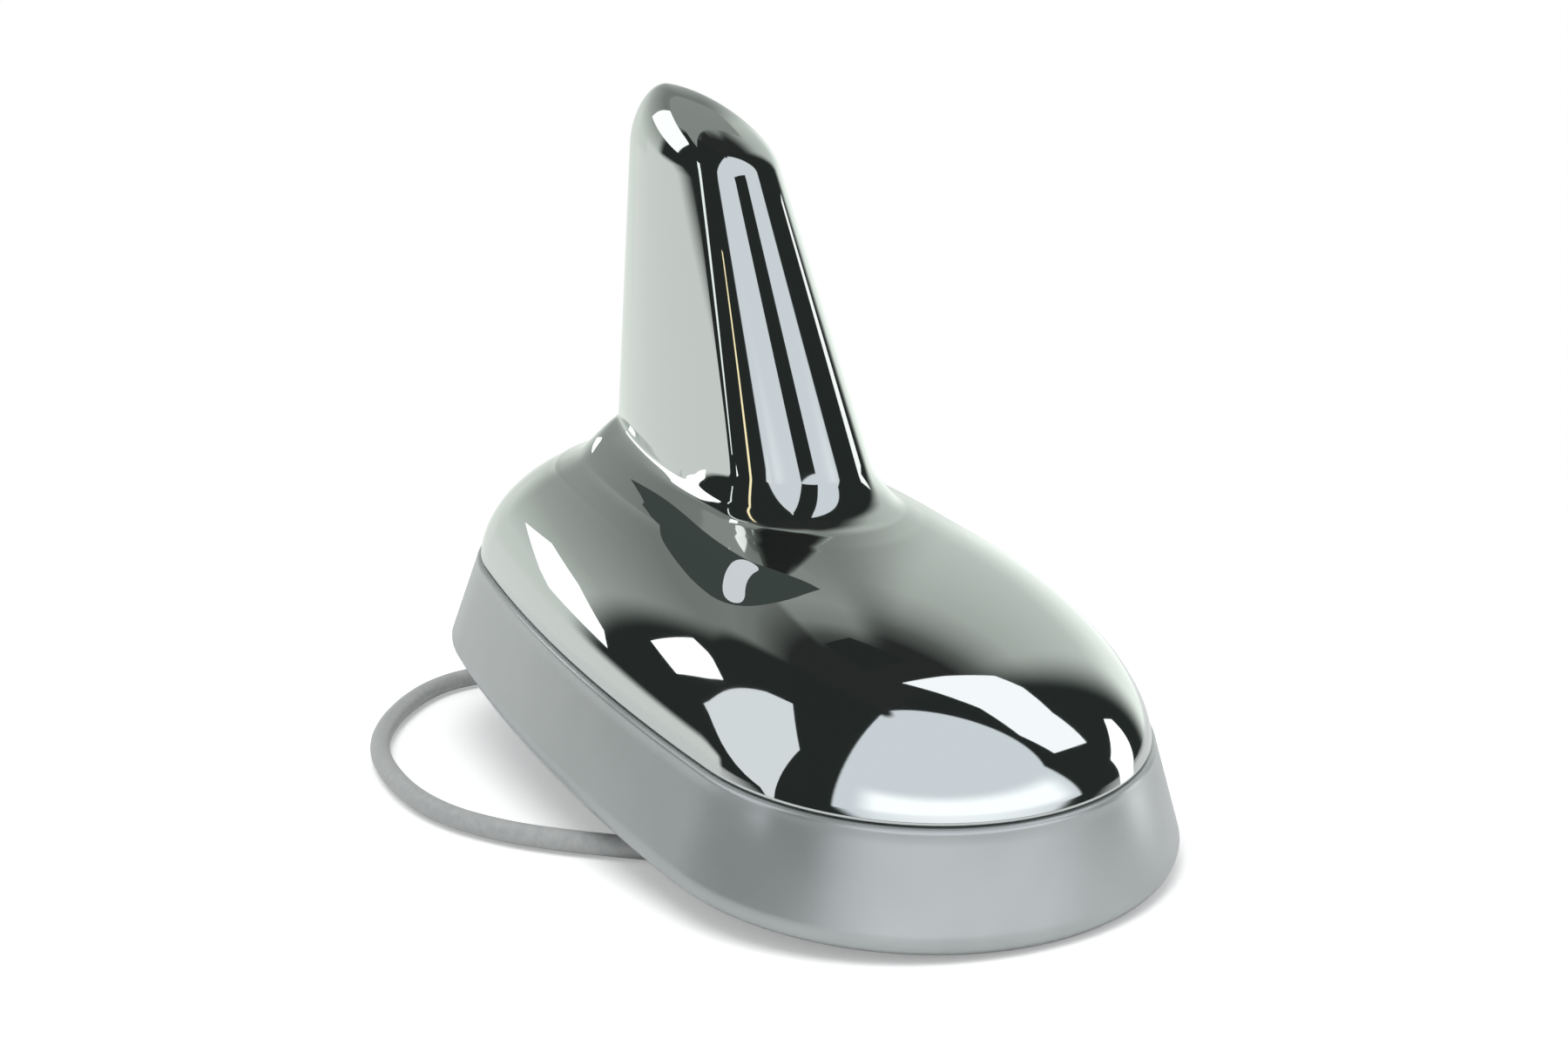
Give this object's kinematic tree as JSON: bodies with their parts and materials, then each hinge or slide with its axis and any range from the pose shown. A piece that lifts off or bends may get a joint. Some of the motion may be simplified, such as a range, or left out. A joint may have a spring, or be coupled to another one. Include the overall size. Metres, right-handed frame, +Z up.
{
  "type": "car antenna",
  "caption": "Roof antenna with a glossy egg-shaped dome, an upright shark fin, a flared rubber skirt, a threaded stud below and a thin coaxial lead with a plug.",
  "frame": {"origin": "on the stud's axis in the roof plane, the gasket's bottom face", "axes": "+Z up off the roof, -Y towards the front of the car, +X to the right for someone who stands in front and looks along +Y"},
  "size_m": [0.0966, 0.1472, 0.0981],
  "materials": {
    "dark_chrome": "moulded plastic with dark bright plating",
    "grey_rubber": "satin grey rubber",
    "die_cast": "as cast",
    "zinc_steel": "zinc plated",
    "black_rubber": "matt rubber",
    "board_green": "solder resist",
    "ceramic": "ceramic with silvered top",
    "tinned": "tinned",
    "black_rubber_chip": "matt moulded",
    "white_plastic": "moulded",
    "cable_grey": "satin jacket",
    "contact_brass": "plated"
  },
  "bodies": {
    "root": {"fin_housing": "dark_chrome", "base_gasket": "grey_rubber", "base_plate": "die_cast", "roof_stud": "zinc_steel", "roof_seal": "black_rubber", "housing_screws": "zinc_steel", "board_screws": "zinc_steel", "circuit_board": "board_green", "patch_antenna": "ceramic", "patch_pin": "tinned", "shield_can": "tinned", "chip_parts": "black_rubber_chip", "fin_antenna": "board_green", "fin_board_clips": "white_plastic", "cable_grommet": "black_rubber", "coax_lead_in": "cable_grey", "coax_cable": "cable_grey", "plug_ferrule": "tinned", "plug_body": "black_rubber_chip", "plug_contact": "contact_brass"}
  },
  "joints": []
}
